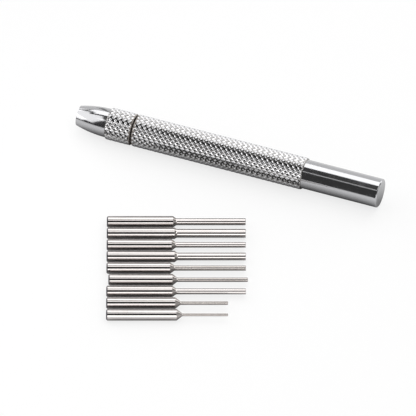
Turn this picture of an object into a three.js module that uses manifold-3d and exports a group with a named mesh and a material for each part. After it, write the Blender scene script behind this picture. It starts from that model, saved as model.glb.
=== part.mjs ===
// Watch pin punch: a knurled holder with a collet chuck in its nose, and a set of loose punch pins.
// Millimetres, +Z up. The holder lies along X with its nose towards -X, and the pins lie beside it.
// The origin is the middle of the set's box, on the bench that it lies on.

import * as THREE from "three";
import { mergeVertices } from "three/addons/utils/BufferGeometryUtils.js";
import Module from "manifold-3d";

// Clearances
const RUNNING_GAP = 0.25; // radial, between pieces that slide or turn in each other
const SEAT_GAP = 0.3; // along the axis, between faces that seat on each other

// Punch pins: lengths are from the butt, and shift is how far a pin has slid along in its row
const SHANK_DIAMETER = 3.175;
const BUTT_CHAMFER = 0.35;
const SHOULDER_ANGLE = 38; // degrees, half angle of the cone from shank to punch
const ROOT_RADIUS = 0.8; // where the cone runs into the punch
const TIP_CHAMFER = 0.08;
const PIN_LENGTH = 38.1;
const SHORT_PIN_LENGTH = 33.2; // of the two thinnest
const PINS = [
  { punch: 1.9, shank: 18.2, length: PIN_LENGTH, shift: 0 },
  { punch: 2.4, shank: 18.6, length: PIN_LENGTH, shift: 0 },
  { punch: 1.5, shank: 17.8, length: PIN_LENGTH, shift: 0 },
  { punch: 2.1, shank: 18.6, length: PIN_LENGTH, shift: 0 },
  { punch: 1.4, shank: 17.4, length: PIN_LENGTH, shift: 0 },
  { punch: 1.2, shank: 17.5, length: PIN_LENGTH, shift: 0.55 },
  { punch: 1.6, shank: 18.0, length: PIN_LENGTH, shift: 0 },
  { punch: 1.0, shank: 18.8, length: SHORT_PIN_LENGTH, shift: 0 },
  { punch: 0.8, shank: 19.2, length: SHORT_PIN_LENGTH, shift: 0 },
];

// Collet: four sprung jaws with a tapered head, on a stem that drops into the barrel
const SHANK_CLEARANCE = 0.1125; // radial, of the open jaws round a shank
const JAW_WALL = 0.4; // at the jaws' mouth
const TAPER_ANGLE = 10; // degrees, half angle of the head
const HEAD_LAND = 3; // straight stretch between the taper and the shoulder
const SHOULDER_SEAT = 0.35; // radial width of the shoulder that seats on the spigot
const STEM_WALL = 0.5;
const STEM_LENGTH = 7;
const SLIT_WIDTH = 0.5;
const SLIT_RUN = 2; // how far the slits run on past the shoulder
const SLIT_HOLE_DIAMETER = 0.9; // drilled through where the slits end

// Nose cap: closes the jaws as it is screwed on
const JAW_RECESS = 0.3; // of the jaws behind the cap's mouth
const NOSE_LIP = 0.45; // wall round the mouth
const NOSE_LENGTH = 8.9; // smooth ogive
const CAP_KNURL_LENGTH = 7.4;
const CAP_WALL = 0.55; // between the thread and the plain bar
const CAP_GAP = 0.25; // left open between the cap and the barrel's collar

// Barrel: a spigot and a collar for the cap, the knurled grip and a plain tail that the hammer strikes
const SPIGOT_WALL = 0.8;
const SPIGOT_CHAMFER = 0.4;
const RELIEF_WIDTH = 1.2; // undercut where the thread runs out
const RELIEF_DEPTH = 0.3;
const COLLAR_LENGTH = 0.15; // stop for the cap, at the foot of the grip
const COLLAR_DROP = 0.25; // under the plain bar
const DRILL_POINT_ANGLE = 59; // degrees, half angle of the hole's bottom
const GRIP_LENGTH = 49.55;
const TAIL_LENGTH = 22;
const TAIL_CHAMFER = 0.25;

// Diamond knurl: shallow grooves of both hands, on a band that stands proud of the plain bar
const KNURL_RAISE = 0.45; // crests above the plain bar
const KNURL_DEPTH = 0.28;
const KNURL_STARTS = 20; // grooves of each hand
const KNURL_PITCH = 1.5; // crest to crest along the axis
const KNURL_CHAMFER = 0.3; // at both ends of a band, down to just under the grooves

// The set on the bench: the row of pins is placed by the butt of its first pin
const PIN_GAP = 1.17;
const PIN_ROW_ANGLE = 19.64; // degrees, between the pins and the holder
const PIN_ROW_X = -24.03; // from the holder's middle
const PIN_ROW_Y = -32.74;

// Facets
const TURN_SEGMENTS = 2 * KNURL_STARTS;
const PIN_SEGMENTS = 24;
const HOLE_SEGMENTS = 12;
const ARC_STEPS = 8;
const FILLET_STEPS = 3;
const OVERCUT = 1; // how far a cutter reaches past the face that it goes through
const OVERLAP = 0.05; // of turned stretches that make one piece

// Radii, from the shank outwards
const SHANK_RADIUS = SHANK_DIAMETER / 2;
const PIN_BORE = SHANK_RADIUS + SHANK_CLEARANCE;
const JAW_TIP = PIN_BORE + JAW_WALL;
const STEM = PIN_BORE + STEM_WALL;
const STEM_BORE = STEM + RUNNING_GAP;
const COLLET_HEAD = STEM_BORE + SHOULDER_SEAT;
const SPIGOT = STEM_BORE + SPIGOT_WALL;
const CAP_MOUTH = JAW_TIP + RUNNING_GAP;
const NOSE_TIP = CAP_MOUTH + NOSE_LIP;
const CAP_CHAMBER = COLLET_HEAD + RUNNING_GAP;
const CAP_THREAD = SPIGOT + RUNNING_GAP;
const BAR = CAP_THREAD + CAP_WALL;
const COLLAR = BAR - COLLAR_DROP;
const CREST = BAR + KNURL_RAISE;
const GROOVE = CREST - KNURL_DEPTH;

// Places along the holder, from the tip of the nose
const TAPER_END = JAW_RECESS + (COLLET_HEAD - JAW_TIP) / Math.tan(THREE.MathUtils.degToRad(TAPER_ANGLE));
const COLLET_SHOULDER = TAPER_END + HEAD_LAND;
const SPIGOT_FACE = COLLET_SHOULDER + SEAT_GAP;
const STEM_END = COLLET_SHOULDER + STEM_LENGTH;
const SLIT_END = COLLET_SHOULDER + SLIT_RUN;
const THREAD_START = SPIGOT_FACE - CAP_GAP - SEAT_GAP;
const CAP_END = NOSE_LENGTH + CAP_KNURL_LENGTH;
const COLLAR_FACE = CAP_END + CAP_GAP;
const GRIP_START = COLLAR_FACE + COLLAR_LENGTH;
const GRIP_END = GRIP_START + GRIP_LENGTH;
const TAIL_END = GRIP_END + TAIL_LENGTH;
const ANVIL = JAW_RECESS + Math.max(...PINS.map((pin) => pin.shank));
const HOLE_END = ANVIL + PIN_BORE / Math.tan(THREE.MathUtils.degToRad(DRILL_POINT_ANGLE));

const wasm = await Module();
wasm.setup();

// A solid from a closed geometry, with shared vertices merged and faces without area left out
function solid(geometry) {
  geometry.deleteAttribute("normal");
  geometry.deleteAttribute("uv");
  const merged = mergeVertices(geometry);
  const triangles = [];
  for (let i = 0; i < merged.index.count; i += 3) {
    const [a, b, c] = [0, 1, 2].map((corner) => merged.index.getX(i + corner));
    if (a !== b && b !== c && c !== a) triangles.push(a, b, c);
  }
  return new wasm.Manifold(
    new wasm.Mesh({
      numProp: 3,
      vertProperties: merged.attributes.position.array,
      triVerts: new Uint32Array(triangles),
    }),
  );
}

// A piece turned about X from a profile of [x, radius] points, with a flat facet underneath
function turned(profile, segments) {
  const points = profile.map(([x, radius]) => new THREE.Vector2(radius, x));
  const geometry = new THREE.LatheGeometry(points, segments, Math.PI / segments);
  return solid(geometry.rotateZ(-Math.PI / 2));
}

// A bar with a diamond knurl, from x = start. On a grid of half pitches every other corner is a crest,
// and each cell is split along the groove that crosses it.
function knurledBar(start, length) {
  const columns = 2 * KNURL_STARTS;
  const rows = 2 * Math.ceil(length / KNURL_PITCH);
  const corner = (row, column) => row * columns + (column % columns);
  const isCrest = (row, column) => (row + column) % 2 === 0;
  const positions = [];
  for (let row = 0; row <= rows; row++) {
    for (let column = 0; column < columns; column++) {
      const angle = ((column + 0.5) * Math.PI) / KNURL_STARTS;
      const radius = isCrest(row, column) ? CREST : GROOVE;
      positions.push(start + (row * KNURL_PITCH) / 2, radius * Math.sin(angle), radius * Math.cos(angle));
    }
  }
  const frontCentre = positions.length / 3;
  const backCentre = frontCentre + 1;
  positions.push(start, 0, 0, start + (rows * KNURL_PITCH) / 2, 0, 0);
  const index = [];
  for (let column = 0; column < columns; column++) {
    for (let row = 0; row < rows; row++) {
      const [a, b] = [corner(row, column), corner(row, column + 1)];
      const [d, c] = [corner(row + 1, column), corner(row + 1, column + 1)];
      const split = isCrest(row, column) ? [a, d, b, b, d, c] : [a, c, b, a, d, c];
      index.push(...split);
    }
    index.push(frontCentre, corner(0, column), corner(0, column + 1));
    index.push(backCentre, corner(rows, column + 1), corner(rows, column));
  }
  const geometry = new THREE.BufferGeometry();
  geometry.setAttribute("position", new THREE.Float32BufferAttribute(positions, 3));
  geometry.setIndex(index);
  return solid(geometry);
}

// A stretch of knurl from start to end, chamfered at both ends
function knurledBand(start, end) {
  const rim = CREST - KNURL_CHAMFER;
  const rise = KNURL_CHAMFER + OVERLAP;
  const blank = [
    [start, 0],
    [start, rim],
    [start + rise, rim + rise],
    [end - rise, rim + rise],
    [end, rim],
    [end, 0],
  ];
  const knurl = knurledBar(start - KNURL_PITCH, end - start + 2 * KNURL_PITCH);
  return knurl.intersect(turned(blank, TURN_SEGMENTS));
}

// The cap's ogive: an arc from the tip that runs out level with the bar
function noseArc() {
  const drop = BAR - NOSE_TIP;
  const radius = (NOSE_LENGTH ** 2 + drop ** 2) / (2 * drop);
  const sweep = Math.asin(NOSE_LENGTH / radius);
  const arc = new THREE.ArcCurve(NOSE_LENGTH, BAR - radius, radius, Math.PI / 2 + sweep, Math.PI / 2, true);
  return arc.getPoints(ARC_STEPS).map((point) => [point.x, point.y]);
}

function noseCap() {
  const nose = [[0, 0], ...noseArc(), [NOSE_LENGTH + OVERLAP, BAR], [NOSE_LENGTH + OVERLAP, 0]];
  const cavity = [
    [-OVERCUT, 0],
    [-OVERCUT, CAP_MOUTH],
    [JAW_RECESS, CAP_MOUTH],
    [TAPER_END, CAP_CHAMBER],
    [THREAD_START, CAP_CHAMBER],
    [THREAD_START, CAP_THREAD],
    [CAP_END + OVERCUT, CAP_THREAD],
    [CAP_END + OVERCUT, 0],
  ];
  const outside = turned(nose, TURN_SEGMENTS).add(knurledBand(NOSE_LENGTH, CAP_END));
  return outside.subtract(turned(cavity, TURN_SEGMENTS));
}

function collet() {
  const body = [
    [JAW_RECESS, PIN_BORE],
    [JAW_RECESS, JAW_TIP],
    [TAPER_END, COLLET_HEAD],
    [COLLET_SHOULDER, COLLET_HEAD],
    [COLLET_SHOULDER, STEM],
    [STEM_END, STEM],
    [STEM_END, PIN_BORE],
    [JAW_RECESS, PIN_BORE],
  ];
  const reach = 2 * (COLLET_HEAD + OVERCUT);
  const slitLength = SLIT_END - JAW_RECESS + OVERCUT;
  const holeRadius = SLIT_HOLE_DIAMETER / 2;
  let jaws = turned(body, TURN_SEGMENTS);
  for (const quarter of [0, Math.PI / 2]) {
    const slit = new THREE.BoxGeometry(slitLength, SLIT_WIDTH, reach);
    const hole = new THREE.CylinderGeometry(holeRadius, holeRadius, reach, HOLE_SEGMENTS);
    slit.translate(SLIT_END - slitLength / 2, 0, 0).rotateX(quarter);
    hole.rotateX(Math.PI / 2 + quarter).translate(SLIT_END, 0, 0);
    jaws = jaws.subtract(solid(slit)).subtract(solid(hole));
  }
  return jaws;
}

function barrel() {
  const spigot = [
    [SPIGOT_FACE, 0],
    [SPIGOT_FACE, SPIGOT - SPIGOT_CHAMFER],
    [SPIGOT_FACE + SPIGOT_CHAMFER, SPIGOT],
    [GRIP_START - RELIEF_WIDTH, SPIGOT],
    [GRIP_START - RELIEF_WIDTH, SPIGOT - RELIEF_DEPTH],
    [COLLAR_FACE, SPIGOT - RELIEF_DEPTH],
    [COLLAR_FACE, COLLAR],
    [GRIP_START + OVERCUT, COLLAR],
    [GRIP_START + OVERCUT, 0],
  ];
  const tail = [
    [GRIP_END - OVERLAP, 0],
    [GRIP_END - OVERLAP, BAR],
    [TAIL_END - TAIL_CHAMFER, BAR],
    [TAIL_END, BAR - TAIL_CHAMFER],
    [TAIL_END, 0],
  ];
  const hole = [
    [SPIGOT_FACE - OVERCUT, 0],
    [SPIGOT_FACE - OVERCUT, STEM_BORE],
    [STEM_END + SEAT_GAP, STEM_BORE],
    [STEM_END + SEAT_GAP, PIN_BORE],
    [ANVIL, PIN_BORE],
    [HOLE_END, 0],
  ];
  const outside = knurledBand(GRIP_START, GRIP_END).add(turned(spigot, TURN_SEGMENTS));
  return outside.add(turned(tail, TURN_SEGMENTS)).subtract(turned(hole, TURN_SEGMENTS));
}

// The shank's cone meets the punch in a small ground radius
function punchPin({ punch, shank, length }) {
  const radius = punch / 2;
  const angle = THREE.MathUtils.degToRad(SHOULDER_ANGLE);
  const rootEnd = shank + (SHANK_RADIUS - radius) / Math.tan(angle) + ROOT_RADIUS * Math.tan(angle / 2);
  const root = [];
  for (let step = FILLET_STEPS; step >= 0; step--) {
    const turn = (angle * step) / FILLET_STEPS;
    root.push([rootEnd - ROOT_RADIUS * Math.sin(turn), radius + ROOT_RADIUS * (1 - Math.cos(turn))]);
  }
  const profile = [
    [0, 0],
    [0, SHANK_RADIUS - BUTT_CHAMFER],
    [BUTT_CHAMFER, SHANK_RADIUS],
    [shank, SHANK_RADIUS],
    ...root,
    [length - TIP_CHAMFER, radius],
    [length, radius - TIP_CHAMFER],
    [length, 0],
  ];
  return turned(profile, PIN_SEGMENTS);
}

function piece(name, body, colour, roughness) {
  const { vertProperties, triVerts } = body.getMesh();
  const geometry = new THREE.BufferGeometry();
  geometry.setAttribute("position", new THREE.BufferAttribute(vertProperties, 3));
  geometry.setIndex(new THREE.BufferAttribute(triVerts, 1));
  geometry.computeVertexNormals();
  const material = new THREE.MeshStandardMaterial({ color: colour, roughness, metalness: 1 });
  const mesh = new THREE.Mesh(geometry, material);
  mesh.name = name;
  return mesh;
}

const PLATED_STEEL = 0xc6c7ca;
const SPRING_STEEL = 0x9d9a95;
const GROUND_STEEL = 0xb8b0a9;

const holder = new THREE.Group();
holder.add(piece("barrel", barrel(), PLATED_STEEL, 0.15));
holder.add(piece("collet", collet(), SPRING_STEEL, 0.35));
holder.add(piece("nose_cap", noseCap(), PLATED_STEEL, 0.15));
holder.position.set(-TAIL_END / 2, 0, CREST * Math.cos(Math.PI / TURN_SEGMENTS));

const pinRow = new THREE.Group();
PINS.forEach((pin, row) => {
  const mesh = piece(`punch_pin_${row + 1}`, punchPin(pin), GROUND_STEEL, 0.25);
  mesh.position.set(pin.shift, -row * (SHANK_DIAMETER + PIN_GAP), 0);
  pinRow.add(mesh);
});
pinRow.position.set(PIN_ROW_X, PIN_ROW_Y, SHANK_RADIUS * Math.cos(Math.PI / PIN_SEGMENTS));
pinRow.rotation.z = THREE.MathUtils.degToRad(PIN_ROW_ANGLE);

const watchPinPunch = new THREE.Group();
watchPinPunch.add(holder, pinRow);

// Bring the middle of the set's box, at bench height, to the origin
watchPinPunch.updateMatrixWorld(true);
const box = new THREE.Box3().setFromObject(watchPinPunch, true);
const middle = box.getCenter(new THREE.Vector3());
watchPinPunch.position.set(-middle.x, -middle.y, -box.min.z);

export default watchPinPunch;
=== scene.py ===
import math

import bmesh
import bpy
from mathutils import Matrix, Vector


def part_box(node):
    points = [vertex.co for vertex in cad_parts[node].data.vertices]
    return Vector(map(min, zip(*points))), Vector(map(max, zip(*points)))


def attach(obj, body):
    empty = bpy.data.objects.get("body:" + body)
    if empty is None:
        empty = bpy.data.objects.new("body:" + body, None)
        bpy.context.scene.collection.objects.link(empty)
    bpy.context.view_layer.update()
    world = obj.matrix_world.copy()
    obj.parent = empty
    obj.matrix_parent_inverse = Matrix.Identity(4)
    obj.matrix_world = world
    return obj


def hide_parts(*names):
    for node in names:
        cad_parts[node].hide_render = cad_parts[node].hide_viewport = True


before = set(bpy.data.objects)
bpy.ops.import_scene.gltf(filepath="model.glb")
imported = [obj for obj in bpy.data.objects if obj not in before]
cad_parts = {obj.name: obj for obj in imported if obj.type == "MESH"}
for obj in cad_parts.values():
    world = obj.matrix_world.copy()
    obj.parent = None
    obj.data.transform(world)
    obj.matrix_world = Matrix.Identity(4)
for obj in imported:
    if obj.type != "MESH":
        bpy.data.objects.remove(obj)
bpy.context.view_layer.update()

# The camera looks down on the set from the tail's side, through a lens so long that parallel edges stay
# parallel. It is placed by where the middle of the holder lies in the photograph.
MM = 0.001
VIEW_AZIMUTH = math.radians(19.64)
VIEW_ELEVATION = math.radians(46.7)
LENS = 1000
SENSOR = 36
CAMERA_REACH = 100
PHOTO_SIDE_PX = 416
PHOTO_PX_PER_MM = 3.63
HOLDER_MIDDLE_PX = (229.37, 154.34)

nose_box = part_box("nose_cap")
barrel_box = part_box("barrel")
nose_tip = Vector((nose_box[0].x, *((nose_box[0] + nose_box[1]) / 2).yz))
tail_end = Vector((barrel_box[1].x, *nose_tip.yz))
holder_middle = (nose_tip + tail_end) / 2

towards_camera = Vector((
    math.sin(VIEW_AZIMUTH) * math.cos(VIEW_ELEVATION),
    -math.cos(VIEW_AZIMUTH) * math.cos(VIEW_ELEVATION),
    math.sin(VIEW_ELEVATION),
))
camera_right = Vector((math.cos(VIEW_AZIMUTH), math.sin(VIEW_AZIMUTH), 0))
camera_up = towards_camera.cross(camera_right)
frame_width = PHOTO_SIDE_PX / PHOTO_PX_PER_MM * MM
right_of_centre = (HOLDER_MIDDLE_PX[0] - PHOTO_SIDE_PX / 2) / PHOTO_PX_PER_MM * MM
above_centre = (PHOTO_SIDE_PX / 2 - HOLDER_MIDDLE_PX[1]) / PHOTO_PX_PER_MM * MM

camera_data = bpy.data.cameras.new("camera")
camera_data.lens = LENS
camera_data.sensor_width = SENSOR
camera_data.clip_end = CAMERA_REACH
camera = bpy.data.objects.new("camera", camera_data)
camera.rotation_mode = "QUATERNION"
camera.rotation_quaternion = (-towards_camera).to_track_quat("-Z", "Y")
camera.location = (
    holder_middle
    - camera_right * right_of_centre
    - camera_up * above_centre
    + towards_camera * (frame_width * LENS / SENSOR)
)
bpy.context.scene.collection.objects.link(camera)
bpy.context.scene.camera = camera
bpy.context.scene.view_settings.view_transform = "Standard"


# The studio is a dark room with softboxes overhead, lit walls behind and at both ends, and small cards close
# to the set. Bright metal shows its shape by these panels and by the dark gaps between them.
# Places and sizes are in metres, and brightness is a share of white.
ROOM_LIGHT = 0.06
CEILING = 0.7
BACK_WALL = 0.95
BACK_WALL_HEIGHT = 0.87
DOWN = (0, 0, -1)
TO_THE_FRONT = (0, -1, 0)
TO_THE_LEFT = (-1, 0, 0)
TO_THE_RIGHT = (1, 0, 0)


def linear(hex_colour):
    channels = [int(hex_colour[i:i + 2], 16) / 255 for i in (1, 3, 5)]
    return [c / 12.92 if c <= 0.04045 else ((c + 0.055) / 1.055) ** 2.4 for c in channels] + [1]


def add_node(tree, kind, inputs, **settings):
    node = tree.nodes.new(kind)
    for name, value in settings.items():
        setattr(node, name, value)
    for socket, value in inputs.items():
        if isinstance(value, bpy.types.NodeSocket):
            tree.links.new(value, node.inputs[socket])
        else:
            node.inputs[socket].default_value = value
    return node


def light_panel(name, centre, facing, width, height, brightness):
    data = bpy.data.lights.new(name, "AREA")
    data.shape = "RECTANGLE"
    data.size = width
    data.size_y = height
    data.energy = brightness * math.pi * width * height
    panel = bpy.data.objects.new(name, data)
    panel.rotation_mode = "QUATERNION"
    panel.rotation_quaternion = Vector(facing).to_track_quat("-Z", "Y")
    panel.location = centre
    panel.visible_camera = False
    bpy.context.scene.collection.objects.link(panel)


def back_wall_panel(name, middle, width, brightness):
    centre = (middle, BACK_WALL, BACK_WALL_HEIGHT / 2)
    light_panel(name, centre, TO_THE_FRONT, width, BACK_WALL_HEIGHT, brightness)


# Overhead: the white band along the tail, the pale top of the knurl and the upper half of each pin.
light_panel("softbox_above", (0.025, 0.49, CEILING), DOWN, 0.85, 0.64, 2.06)
light_panel("softbox_over_pins", (0.43, -0.0175, CEILING), DOWN, 0.94, 0.375, 1.55)
light_panel("softbox_above_left", (-0.46, 0.605, CEILING), DOWN, 0.12, 0.41, 2.06)
light_panel("softbox_left", (-1.1, 0.5475, CEILING), DOWN, 1.0, 0.525, 0.9)

# Off the nose: its pale side, and the left faces of the diamonds.
light_panel("card_off_nose", (-0.16, -0.085, 0.225), TO_THE_RIGHT, 0.23, 0.31, 1.63)
light_panel("card_beside_nose", (-0.16, 0.064, 0.16), TO_THE_RIGHT, 0.068, 0.09, 1.63)
light_panel("card_low_off_nose", (-0.06, 0.018, 0.01525), TO_THE_RIGHT, 0.026, 0.0115, 1.63)

# Behind: the grey band along the top of the holder. The wall is in parts on both sides of a dim post,
# because lamps that overlap add up. The post darkens the upper edge of each pin.
back_wall_panel("wall_behind", -0.1075, 0.415, 0.86)
back_wall_panel("post_behind", -0.345, 0.06, 0.2)
back_wall_panel("wall_behind_nose", -0.5875, 0.425, 0.86)
back_wall_panel("wall_behind_left", -1.25, 0.9, 1.8)
back_wall_panel("wall_behind_right", 0.5, 0.8, 1.9)

# At the ends: the left and right faces of the diamonds, and the pins' cones.
light_panel("wall_left", (-1.2, 0.515, 0.45), TO_THE_RIGHT, 0.87, 0.9, 1.63)
light_panel("wall_right", (0.9, 0.1, 0.25), TO_THE_LEFT, 1.0, 0.5, 0.52)
light_panel("card_right", (0.35, -0.18, 0.5), TO_THE_LEFT, 0.3, 0.5, 1.72)

# In front: the lower half of each pin, and the thin line in the dark band of the tail.
low_front = Vector((towards_camera.x, towards_camera.y, 0)).normalized()
under_camera = low_front * 0.28 + Vector((0, -0.017, 0.099))
light_panel("card_under_camera", under_camera, -low_front, 0.1, 0.188, 2.2)
light_panel("dim_strip", (-0.235, -0.428, 0.9), (0, 0.43, -0.87), 0.43, 0.085, 0.85)

world = bpy.data.worlds.new("dark_room")
world.use_nodes = True
world.node_tree.nodes["Background"].inputs["Color"].default_value = [ROOM_LIGHT] * 3 + [1]
bpy.context.scene.world = world


# The floor is a sheet of white paper that the set lies on. What the lamps leave it short of white is made up
# for the camera and for reflections, so it keeps the shadows. In reflections that glow is faded close to a
# piece by an occlusion test: a painted contact shadow on the paper.
FLOOR_SIDE = 40
PAPER_GREY = linear("#7a7a7a")
PAPER_GLOW = linear("#ffffff")
PAPER_LIFT = 0.775
CONTACT_SHADOW = 20 * MM
CONTACT_FADE = 4.0
CONTACT_RAYS = 8

floor_bm = bmesh.new()
bmesh.ops.create_grid(floor_bm, x_segments=1, y_segments=1, size=FLOOR_SIDE / 2)
floor_mesh = bpy.data.meshes.new("floor")
floor_bm.to_mesh(floor_mesh)
floor_bm.free()
floor = bpy.data.objects.new("floor", floor_mesh)
bpy.context.scene.collection.objects.link(floor)

# Matt paper scatters light evenly: it shows soft shadows and no shine.
paper = bpy.data.materials.new("matt_white_paper")
paper.use_nodes = True
paper.node_tree.nodes.clear()
tree = paper.node_tree
rays = add_node(tree, "ShaderNodeLightPath", {})
seen = add_node(tree, "ShaderNodeMath", {0: rays.outputs["Is Camera Ray"], 1: rays.outputs["Is Glossy Ray"]},
                operation="MAXIMUM")
seen = add_node(tree, "ShaderNodeMath", {0: seen.outputs[0], 1: rays.outputs["Is Transmission Ray"]},
                operation="MAXIMUM")
# Painted contact shadow: the glow that reflections see is faded by occlusion close to the pieces.
open_sky = add_node(tree, "ShaderNodeAmbientOcclusion", {"Distance": CONTACT_SHADOW}, samples=CONTACT_RAYS)
open_sky = add_node(tree, "ShaderNodeMath", {0: open_sky.outputs["AO"], 1: CONTACT_FADE}, operation="POWER")
open_sky = add_node(tree, "ShaderNodeMath", {0: open_sky.outputs[0], 1: rays.outputs["Is Camera Ray"]},
                    operation="MAXIMUM")
seen = add_node(tree, "ShaderNodeMath", {0: seen.outputs[0], 1: open_sky.outputs[0]}, operation="MULTIPLY")
lift = add_node(tree, "ShaderNodeMath", {0: seen.outputs[0], 1: PAPER_LIFT}, operation="MULTIPLY")
glow = add_node(tree, "ShaderNodeEmission", {"Color": PAPER_GLOW, "Strength": lift.outputs[0]})
matt = add_node(tree, "ShaderNodeBsdfDiffuse", {"Color": PAPER_GREY})
both = add_node(tree, "ShaderNodeAddShader", {0: glow.outputs[0], 1: matt.outputs[0]})
add_node(tree, "ShaderNodeOutputMaterial", {"Surface": both.outputs[0]})
floor_mesh.materials.append(paper)


# The barrel is one turned steel bar, plated bright: a threaded spigot for the nose cap, a diamond-knurled
# grip and a plain tail that the hammer strikes. A stepped hole from the front takes the collet and the pin.
# Sizes are in mm, and places along the holder count from the nose tip.
BAR_RADIUS = 4.05
CREST_RADIUS = (barrel_box[1].z - barrel_box[0].z) / 2 / MM
GROOVE_RADIUS = 4.266
MID_SLOPE_RADIUS = (GROOVE_RADIUS + CREST_RADIUS) / 2
KNURL_STARTS = 20
KNURL_PITCH = 1.5
KNURL_PHASE = 0.25  # of a groove, round the axis
KNURL_SPARE_CELLS = 4  # past both ends, cut off again
KNURL_CREASE = 20  # degrees between facets that stay sharp
KNURL_CHAMFER = 0.3
KNURL_CHAMFER_CUTS = 3
KNURL_RIM_RADIUS = CREST_RADIUS - KNURL_CHAMFER  # where the chamfer at either end of a knurl runs out
CREST_FLAT = 0.4  # share of a diamond's width that is left flat on top
GRIP_START = 16.7
GRIP_LENGTH = 49.55
GRIP_SLEEVE_BORE = 3.0
COLLAR_FACE = 16.55
COLLAR_RADIUS = 3.8
UNDER_KNURL_RADIUS = 3.7
UNDER_KNURL_SLOPE = 1
KNURL_LAP = 0.1  # of the plain bar under the end of a knurl
TAIL_CHAMFER = 0.25
SPIGOT_FACE = 7.57
SPIGOT_RADIUS = 3.25
SPIGOT_CHAMFER = 0.4
RELIEF_START = 15.5
RELIEF_RADIUS = 2.95
THREAD_PITCH = 0.75
THREAD_DEPTH = 0.3
RINGS_PER_TURN = 8  # rings of the mesh in one turn of thread
STEM_BORE_RADIUS = 2.45
STEM_BORE_END = 14.57
PIN_BORE_RADIUS = 1.7
ANVIL = 19.5
DRILL_POINT = 20.52
HOLDER_LENGTH = (tail_end.x - nose_tip.x) / MM
TURN_STEPS = 128
TURN_CREASE = 12  # degrees, as for the knurl
EDGE_BREAK = 0.06
EDGE_FACETS = 2
EDGE_ANGLE = 25  # degrees; sharper edges are broken
SAME_POINT = 1e-5  # closer points are merged
SAME_KNURL_POINT = 1e-4  # and closer ones on a rolled-up knurl
ON_SURFACE = 1e-3  # how near a point is to the cylinder that a thread is cut in
KNURL_FINISH = 1  # place of each finish in the list of a turned piece's materials
OILED_AND_SHADE_FINISH = 2
JOINT_OIL_AND_SHADE = 0.1  # how far oil and painted shade reach from the joint behind the cap onto either knurl
GROOVE_OIL_AND_SHADE = 0.45  # and along its grooves


def shade(bm, crease_angle):
    for face in bm.faces:
        face.smooth = True
    for edge in bm.edges:
        edge.smooth = edge.calc_face_angle(0) < math.radians(crease_angle)


# A profile of places along the axis and radii is spun round, and its sharp edges are broken.
def turned(profile, steps=TURN_STEPS, edge_break=EDGE_BREAK):
    bm = bmesh.new()
    closed = profile[0] == profile[-1]
    points = [bm.verts.new((x, 0, radius)) for x, radius in profile[:len(profile) - closed]]
    edges = [bm.edges.new(pair) for pair in zip(points, points[1:] + points[:closed])]
    bmesh.ops.spin(bm, geom=points + edges, cent=(0, 0, 0), axis=(1, 0, 0), angle=math.tau, steps=steps,
                   use_merge=True)
    bmesh.ops.remove_doubles(bm, verts=bm.verts, dist=SAME_POINT)
    bmesh.ops.recalc_face_normals(bm, faces=bm.faces)
    corners = [e for e in bm.edges if e.calc_face_angle(0) > math.radians(EDGE_ANGLE)]
    if edge_break:
        bmesh.ops.bevel(bm, geom=corners, offset=edge_break, offset_type="OFFSET", segments=EDGE_FACETS,
                        profile=0.5, affect="EDGES", clamp_overlap=True, material=-1)
    shade(bm, TURN_CREASE)
    return bm


# Points on the cylinder sink into a V groove that winds round it and runs out at both ends.
def cut_thread(bm, start, end, radius, depth):
    for vert in bm.verts:
        along, out = vert.co.x, vert.co.yz.length
        if start < along < end and abs(out - radius) < ON_SURFACE:
            turn = along / THREAD_PITCH - math.atan2(vert.co.z, vert.co.y) / math.tau
            ridge = abs(2 * (turn % 1) - 1)
            fade = min(1, (along - start) / THREAD_PITCH, (end - along) / THREAD_PITCH)
            vert.co.yz *= 1 - depth * (1 - ridge) * fade / out


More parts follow.
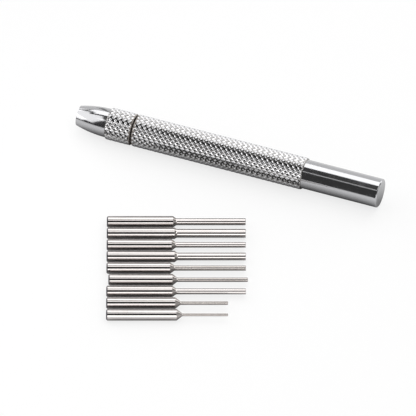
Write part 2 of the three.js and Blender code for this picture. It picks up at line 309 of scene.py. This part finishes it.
# A knurl starts as a flat sheet of square pyramids with their tops cut off. The sheet is turned to diamonds,
# trimmed, rolled up round the axis and closed inside to a sleeve.
def knurl_sleeve(start, length, bore):
    cells = KNURL_STARTS + math.ceil(length / KNURL_PITCH) + KNURL_SPARE_CELLS
    bm = bmesh.new()
    bmesh.ops.create_grid(bm, x_segments=cells, y_segments=cells, size=cells / 2)
    bmesh.ops.inset_individual(bm, faces=bm.faces[:], thickness=(1 - CREST_FLAT) / 2,
                               depth=CREST_RADIUS - GROOVE_RADIUS, use_even_offset=True)
    to_diamonds = Matrix((
        (KNURL_PITCH / 2, KNURL_PITCH / 2, 0, length / 2),
        (-0.5, 0.5, 0, KNURL_STARTS / 2),
        (0, 0, 1, 0),
        (0, 0, 0, 1),
    ))
    bmesh.ops.transform(bm, matrix=to_diamonds, verts=bm.verts)
    ends = [((0, 0, 0), (-1, 0, 0)), ((length, 0, 0), (1, 0, 0))]
    seam = [((0, 0, 0), (0, -1, 0)), ((0, KNURL_STARTS, 0), (0, 1, 0))]
    for place, outwards in ends + seam:
        bmesh.ops.bisect_plane(bm, geom=bm.verts[:] + bm.edges[:] + bm.faces[:], dist=SAME_POINT,
                               plane_co=place, plane_no=outwards, clear_outer=True)
    for cut in range(1, KNURL_CHAMFER_CUTS + 1):
        in_from_end = KNURL_CHAMFER * cut / KNURL_CHAMFER_CUTS
        for place in (in_from_end, length - in_from_end):
            bmesh.ops.bisect_plane(bm, geom=bm.verts[:] + bm.edges[:] + bm.faces[:], dist=SAME_POINT,
                                   plane_co=(place, 0, 0), plane_no=(1, 0, 0))
    for vert in bm.verts:
        along, around, height = vert.co
        radius = min(GROOVE_RADIUS + height, KNURL_RIM_RADIUS + along, KNURL_RIM_RADIUS + length - along)
        angle = (around + KNURL_PHASE) * math.tau / KNURL_STARTS
        vert.co = (along, radius * math.sin(angle), radius * math.cos(angle))
    bmesh.ops.remove_doubles(bm, verts=bm.verts, dist=SAME_KNURL_POINT)
    rims = [e for e in bm.edges if e.is_boundary]
    rings = bmesh.ops.extrude_edge_only(bm, edges=rims)["geom"]
    inner = [v for v in rings if isinstance(v, bmesh.types.BMVert)]
    shrink = bore / KNURL_RIM_RADIUS
    bmesh.ops.scale(bm, vec=(1, shrink, shrink), verts=inner)
    inner_rims = [e for e in rings if isinstance(e, bmesh.types.BMEdge) and e.is_boundary]
    bmesh.ops.bridge_loops(bm, edges=inner_rims)
    bmesh.ops.recalc_face_normals(bm, faces=bm.faces)
    bmesh.ops.translate(bm, vec=(start, 0, 0), verts=bm.verts)
    for face in bm.faces:
        face.material_index = KNURL_FINISH
    shade(bm, KNURL_CREASE)
    return bm


# Oil that works out of the joint, and painted shade at the joint, darken the end of a knurl; they reach
# further along its grooves.
def oil_and_shade_knurl_end(bm, joint):
    for face in bm.faces:
        middle = face.calc_center_median()
        in_groove = middle.yz.length < MID_SLOPE_RADIUS
        if abs(middle.x - joint) < (GROOVE_OIL_AND_SHADE if in_groove else JOINT_OIL_AND_SHADE):
            face.material_index = OILED_AND_SHADE_FINISH


# Bodies made in mm become one piece in metres, at its place.
def finished_piece(name, bodies, place, materials):
    mesh = bpy.data.meshes.new(name)
    whole = bmesh.new()
    for bm in bodies:
        bm.to_mesh(mesh)
        bm.free()
        whole.from_mesh(mesh)
    bmesh.ops.transform(whole, matrix=place @ Matrix.Scale(MM, 4), verts=whole.verts)
    whole.to_mesh(mesh)
    whole.free()
    for material in materials:
        mesh.materials.append(material)
    piece = bpy.data.objects.new(name, mesh)
    bpy.context.scene.collection.objects.link(piece)
    return piece


def start_metal(name):
    material = bpy.data.materials.new(name)
    material.use_nodes = True
    tree = material.node_tree
    shader = tree.nodes["Principled BSDF"]
    shader.inputs["Metallic"].default_value = 1
    return material, tree, shader


# Bright plate over turned steel is close to a mirror and a little cold in colour. The lathe's rings and
# wiped smears soften the reflections unevenly. In the knurl, the bottoms of the grooves are darker and
# browner: dirt, and painted shade.
# Real turning marks are a few hundredths of a mm apart, too fine to show, so they are drawn at 0.15 mm.
PLATE = linear("#b8b8ba")
GROOVE_DIRT_AND_SHADE = linear("#85827e")
DIRT_AND_SHADE_DEPTH = 0.12
TURNING_MARK = 0.15
TURNING_MARK_LENGTH = 5
TURNING_MARK_RELIEF = 0.01 * MM
TURNING_MARK_STRENGTH = 0.03
SMEAR_LENGTH = 2.86
SMEAR_SPREAD = (0.35, 0.7)  # of the noise, from the cleanest plate to the most smeared


def bright_plated_steel(name, roughness, dirt_and_shade_in_grooves):
    material, tree, shader = start_metal(name)
    where = add_node(tree, "ShaderNodeTexCoord", {})
    in_mm = add_node(tree, "ShaderNodeMapping", {
        "Vector": where.outputs["Object"],
        "Location": -nose_tip / MM,
        "Scale": (1 / MM, 1 / MM, 1 / MM),
    })
    stretched = add_node(tree, "ShaderNodeMapping", {
        "Vector": in_mm.outputs[0],
        "Scale": (1 / TURNING_MARK, 1 / TURNING_MARK_LENGTH, 1 / TURNING_MARK_LENGTH),
    })
    rings = add_node(tree, "ShaderNodeTexNoise", {
        "Vector": stretched.outputs[0],
        "Scale": 1.0,
        "Detail": 3.0,
    })
    smears = add_node(tree, "ShaderNodeTexNoise", {
        "Vector": in_mm.outputs[0],
        "Scale": 1 / SMEAR_LENGTH,
        "Detail": 4.0,
    })
    polish = add_node(tree, "ShaderNodeMapRange", {
        "Value": smears.outputs["Fac"],
        "From Min": SMEAR_SPREAD[0],
        "From Max": SMEAR_SPREAD[1],
        "To Min": roughness[0],
        "To Max": roughness[1],
    })
    tree.links.new(polish.outputs[0], shader.inputs["Roughness"])
    # Darker and browner towards the groove bottoms: dirt, and painted shade in the recesses.
    if dirt_and_shade_in_grooves:
        off_axis = add_node(tree, "ShaderNodeVectorMath", {0: in_mm.outputs[0], 1: (0, 1, 1)},
                            operation="MULTIPLY")
        radius = add_node(tree, "ShaderNodeVectorMath", {0: off_axis.outputs[0]}, operation="LENGTH")
        height = add_node(tree, "ShaderNodeMapRange", {
            "Value": radius.outputs["Value"],
            "From Min": GROOVE_RADIUS,
            "From Max": GROOVE_RADIUS + DIRT_AND_SHADE_DEPTH,
        })
        tone = add_node(tree, "ShaderNodeMix", {"Factor": height.outputs[0], "A": GROOVE_DIRT_AND_SHADE, "B": PLATE},
                        data_type="RGBA")
        tree.links.new(tone.outputs["Result"], shader.inputs["Base Color"])
    else:
        shader.inputs["Base Color"].default_value = PLATE
    relief = add_node(tree, "ShaderNodeBump", {
        "Height": rings.outputs["Fac"],
        "Strength": TURNING_MARK_STRENGTH,
        "Distance": TURNING_MARK_RELIEF,
    })
    tree.links.new(relief.outputs[0], shader.inputs["Normal"])
    return material


# Steel that is neither plated nor ground wanders between a dark and a pale tone, in patches of one size.
def mottled_steel(name, patch, dark, pale, roughness):
    material, tree, shader = start_metal(name)
    where = add_node(tree, "ShaderNodeTexCoord", {})
    mottle = add_node(tree, "ShaderNodeTexNoise", {
        "Vector": where.outputs["Object"],
        "Scale": 1 / (patch * MM),
    })
    tone = add_node(tree, "ShaderNodeMix", {
        "Factor": mottle.outputs["Fac"],
        "A": linear(dark),
        "B": linear(pale),
    }, data_type="RGBA")
    tree.links.new(tone.outputs["Result"], shader.inputs["Base Color"])
    shader.inputs["Roughness"].default_value = roughness
    return material


plated = bright_plated_steel("bright_plated_steel", (0.1, 0.16), dirt_and_shade_in_grooves=False)
plated_knurl = bright_plated_steel("knurled_plated_steel", (0.06, 0.11), dirt_and_shade_in_grooves=True)
# Unplated turned steel under old oil is darker and browner than the plate, with a dull, patchy shine. At the
# knurl ends beside the joint it is also painted shade.
oil_and_joint_shade = mottled_steel("oiled_steel_and_joint_shade", 0.8, "#77716c", "#a09a95", 0.4)

thread_start = SPIGOT_FACE + SPIGOT_CHAMFER
thread_rings = int((RELIEF_START - SPIGOT_FACE - SPIGOT_CHAMFER) / THREAD_PITCH * RINGS_PER_TURN)
grip_end = GRIP_START + GRIP_LENGTH
core = turned([
    (SPIGOT_FACE, STEM_BORE_RADIUS),
    (SPIGOT_FACE, SPIGOT_RADIUS - SPIGOT_CHAMFER),
    *[(thread_start + ring * THREAD_PITCH / RINGS_PER_TURN, SPIGOT_RADIUS) for ring in range(thread_rings)],
    (RELIEF_START, SPIGOT_RADIUS),
    (RELIEF_START, RELIEF_RADIUS),
    (COLLAR_FACE, RELIEF_RADIUS),
    (COLLAR_FACE, COLLAR_RADIUS),
    (GRIP_START + UNDER_KNURL_SLOPE, COLLAR_RADIUS),
    (GRIP_START + 2 * UNDER_KNURL_SLOPE, UNDER_KNURL_RADIUS),
    (grip_end - UNDER_KNURL_SLOPE, UNDER_KNURL_RADIUS),
    (grip_end - KNURL_LAP, BAR_RADIUS),
    (HOLDER_LENGTH - TAIL_CHAMFER, BAR_RADIUS),
    (HOLDER_LENGTH, BAR_RADIUS - TAIL_CHAMFER),
    (HOLDER_LENGTH, 0),
    (DRILL_POINT, 0),
    (ANVIL, PIN_BORE_RADIUS),
    (STEM_BORE_END, PIN_BORE_RADIUS),
    (STEM_BORE_END, STEM_BORE_RADIUS),
    (SPIGOT_FACE, STEM_BORE_RADIUS),
])
cut_thread(core, SPIGOT_FACE, RELIEF_START, SPIGOT_RADIUS, THREAD_DEPTH)
for face in core.faces:
    middle = face.calc_center_median()
    if middle.x < DRILL_POINT and middle.yz.length < (RELIEF_RADIUS + COLLAR_RADIUS) / 2:
        face.material_index = OILED_AND_SHADE_FINISH
grip = knurl_sleeve(GRIP_START, GRIP_LENGTH, GRIP_SLEEVE_BORE)
oil_and_shade_knurl_end(grip, GRIP_START)
on_holder = Matrix.Translation(nose_tip)
barrel = finished_piece("barrel_bar", [core, grip], on_holder, [plated, plated_knurl, oil_and_joint_shade])
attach(barrel, "barrel")
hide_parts("barrel")


# The collet slips into the barrel's hole, and only its four jaws show, deep in the nose cap's mouth. It is
# turned from spring steel, slit, hardened and left bare, which gives a grey satin shine with faint mottling.
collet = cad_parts["collet"]
collet.data.materials.clear()
collet.data.materials.append(mottled_steel("bare_spring_steel", 0.4, "#8f8b85", "#aaa7a2", 0.35))


# The nose cap is turned from the same bar: a smooth ogive with a short knurled band behind it, bored out
# to close on the collet's taper, and screwed onto the spigot; its thread is not cut, the bore is left plain
# there.
NOSE_LENGTH = 8.9
NOSE_TIP_RADIUS = 2.8
NOSE_STEPS = 32
CAP_LENGTH = 16.3
CAP_REAR_SINK = 0.02  # of the core behind the end of its knurled band
CAP_SLEEVE_BORE = 3.6
MOUTH_RADIUS = 2.35
MOUTH_LAND = 0.3
TAPER_END = 4.27
CHAMBER_RADIUS = 3.05
CAP_THREAD_START = 7.02
CAP_THREAD_RADIUS = 3.5
CAP_BORE_LIMIT = CAP_THREAD_RADIUS + 0.1

nose_drop = BAR_RADIUS - NOSE_TIP_RADIUS
nose_arc_radius = (NOSE_LENGTH ** 2 + nose_drop ** 2) / (2 * nose_drop)
nose_arc = []
for step in range(NOSE_STEPS + 1):
    along = NOSE_LENGTH * step / NOSE_STEPS
    rise = math.sqrt(nose_arc_radius ** 2 - (NOSE_LENGTH - along) ** 2)
    nose_arc.append((along, BAR_RADIUS - nose_arc_radius + rise))
cap_core = turned([
    (0, MOUTH_RADIUS),
    *nose_arc,
    (NOSE_LENGTH + KNURL_LAP, BAR_RADIUS),
    (NOSE_LENGTH + UNDER_KNURL_SLOPE, UNDER_KNURL_RADIUS),
    (CAP_LENGTH - CAP_REAR_SINK, UNDER_KNURL_RADIUS),
    (CAP_LENGTH - CAP_REAR_SINK, CAP_THREAD_RADIUS),
    (CAP_THREAD_START, CAP_THREAD_RADIUS),
    (CAP_THREAD_START, CHAMBER_RADIUS),
    (TAPER_END, CHAMBER_RADIUS),
    (MOUTH_LAND, MOUTH_RADIUS),
    (0, MOUTH_RADIUS),
])
for face in cap_core.faces:
    middle = face.calc_center_median()
    in_bore = middle.yz.length < CAP_BORE_LIMIT and middle.x > MOUTH_LAND
    if in_bore and face.normal.yz.dot(middle.yz) < 0:
        face.material_index = OILED_AND_SHADE_FINISH
cap_band = knurl_sleeve(NOSE_LENGTH, CAP_LENGTH - NOSE_LENGTH, CAP_SLEEVE_BORE)
oil_and_shade_knurl_end(cap_band, CAP_LENGTH)
cap = finished_piece("nose_cap_shell", [cap_core, cap_band], on_holder, [plated, plated_knurl, oil_and_joint_shade])
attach(cap, "nose_cap")
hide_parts("nose_cap")


# The nine punch pins are ground from tool steel: one shank size, a conical shoulder and a thinner punch
# with a flat tip. They lie loose in a row, butts to the left.
SHANK_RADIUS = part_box("punch_pin_1")[1].z / 2 / MM
BUTT_CHAMFER = 0.35
SHOULDER_ANGLE = math.radians(38)
ROOT_RADIUS = 0.8
ROOT_STEPS = 8
TIP_CHAMFER = 0.08
PIN_STEPS = 72
PIN_EDGE_BREAK = 0
PIN_ANGLE = VIEW_AZIMUTH
# Each pin's punch diameter, shank length, whole length and shift to the right, from the back of the row.
PIN_PUNCHES = (1.9, 2.4, 1.5, 2.1, 1.4, 1.2, 1.6, 1.0, 0.8)
PIN_SHANKS = (18.2, 18.6, 17.8, 18.6, 17.4, 17.5, 18.0, 18.8, 19.2)
PIN_LENGTHS = (38.1, 38.1, 38.1, 38.1, 38.1, 38.1, 38.1, 33.2, 33.2)
PIN_SHIFTS = (0, 0, 0, 0, 0, 0.55, 0, 0, 0)
PIN_STEP = 4.345
FIRST_BUTT = (-24.03, -32.74)  # from the holder's middle
CUT_FINISH = 1
COARSE_AND_SHADED_FINISH = 2
DULL_AND_SHADED_PUNCH = 1.45  # thinner punches get the rougher finish of the cones, and their painted shade
ON_CONE = 1.05  # of the punch's radius


# Ground steel draws sharp bright and dark lines along a pin, with a warm tint. Fine marks across it break
# them up a little, and a thin film of oil varies the colour. Real grinding marks are a few hundredths of
# a mm apart, too fine to show, so they are drawn at 0.2 mm.
GRIND_MARK = 0.2
GRIND_MARK_LENGTH = 3.33
GRIND_MARK_RELIEF = 0.01 * MM
GRIND_MARK_STRENGTH = 0.05
OIL_PATCH = 3.33


def ground_tool_steel(name, dark, pale, roughness):
    material, tree, shader = start_metal(name)
    where = add_node(tree, "ShaderNodeTexCoord", {})
    along_pins = add_node(tree, "ShaderNodeMapping", {
        "Vector": where.outputs["Object"],
        "Rotation": (0, 0, -PIN_ANGLE),
        "Scale": (1 / MM, 1 / MM, 1 / MM),
    })
    stretched = add_node(tree, "ShaderNodeMapping", {
        "Vector": along_pins.outputs[0],
        "Scale": (1 / GRIND_MARK, 1 / GRIND_MARK_LENGTH, 1 / GRIND_MARK_LENGTH),
    })
    marks = add_node(tree, "ShaderNodeTexNoise", {
        "Vector": stretched.outputs[0],
        "Scale": 1.0,
        "Detail": 3.0,
    })
    film = add_node(tree, "ShaderNodeTexNoise", {
        "Vector": along_pins.outputs[0],
        "Scale": 1 / OIL_PATCH,
        "Detail": 3.0,
    })
    tone = add_node(tree, "ShaderNodeMix", {
        "Factor": film.outputs["Fac"],
        "A": linear(dark),
        "B": linear(pale),
    }, data_type="RGBA")
    tree.links.new(tone.outputs["Result"], shader.inputs["Base Color"])
    polish = add_node(tree, "ShaderNodeMapRange", {
        "Value": marks.outputs["Fac"],
        "To Min": roughness[0],
        "To Max": roughness[1],
    })
    tree.links.new(polish.outputs[0], shader.inputs["Roughness"])
    relief = add_node(tree, "ShaderNodeBump", {
        "Height": marks.outputs["Fac"],
        "Strength": GRIND_MARK_STRENGTH,
        "Distance": GRIND_MARK_RELIEF,
    })
    tree.links.new(relief.outputs[0], shader.inputs["Normal"])
    return material


def pin_profile(punch, shank, length):
    radius = punch / 2
    cone_length = (SHANK_RADIUS - radius) / math.tan(SHOULDER_ANGLE)
    root_end = shank + cone_length + ROOT_RADIUS * math.tan(SHOULDER_ANGLE / 2)
    root = []
    for step in range(ROOT_STEPS, -1, -1):
        turn = SHOULDER_ANGLE * step / ROOT_STEPS
        root.append((root_end - ROOT_RADIUS * math.sin(turn), radius + ROOT_RADIUS * (1 - math.cos(turn))))
    return [
        (0, 0),
        (0, SHANK_RADIUS - BUTT_CHAMFER),
        (BUTT_CHAMFER, SHANK_RADIUS),
        (shank, SHANK_RADIUS),
        *root,
        (length - TIP_CHAMFER, radius),
        (length, radius - TIP_CHAMFER),
        (length, 0),
    ]


pin_steel = ground_tool_steel("ground_tool_steel", "#c2bcb9", "#cdc9c8", (0.05, 0.1))
# A coarser wheel leaves the cones and thin punches rougher, with their lines run together. Their darker,
# greyer colour is painted shade.
punch_steel_with_painted_shade = ground_tool_steel("coarse_ground_tool_steel_painted_shade", "#aea8a4", "#bbb6b3", (0.18, 0.26))
# The butts are left as the cut-off saw leaves them: dark from its heat, dull and mottled.
cut_steel = mottled_steel("cut_off_tool_steel", 0.3, "#3c3b40", "#6a686c", 0.4)

along_pin = Vector((math.cos(PIN_ANGLE), math.sin(PIN_ANGLE), 0))
down_row = Vector((math.sin(PIN_ANGLE), -math.cos(PIN_ANGLE), 0))
for row, (punch, shank, length, shift) in enumerate(zip(PIN_PUNCHES, PIN_SHANKS, PIN_LENGTHS, PIN_SHIFTS)):
    node = f"punch_pin_{row + 1}"
    bm = turned(pin_profile(punch, shank, length), PIN_STEPS, PIN_EDGE_BREAK)
    for face in bm.faces:
        middle = face.calc_center_median()
        if middle.x < BUTT_CHAMFER:
            face.material_index = CUT_FINISH
        on_cone = middle.yz.length > punch / 2 * ON_CONE
        if middle.x > shank and (on_cone or punch < DULL_AND_SHADED_PUNCH):
            face.material_index = COARSE_AND_SHADED_FINISH
    butt = Vector((*FIRST_BUTT, SHANK_RADIUS)) + down_row * row * PIN_STEP + along_pin * shift
    place = Vector((holder_middle.x, holder_middle.y, 0)) + butt * MM
    in_row = Matrix.Translation(place) @ Matrix.Rotation(PIN_ANGLE, 4, "Z")
    pin = finished_piece(f"pin_{row + 1}", [bm], in_row, [pin_steel, cut_steel, punch_steel_with_painted_shade])
    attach(pin, node)
    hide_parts(node)
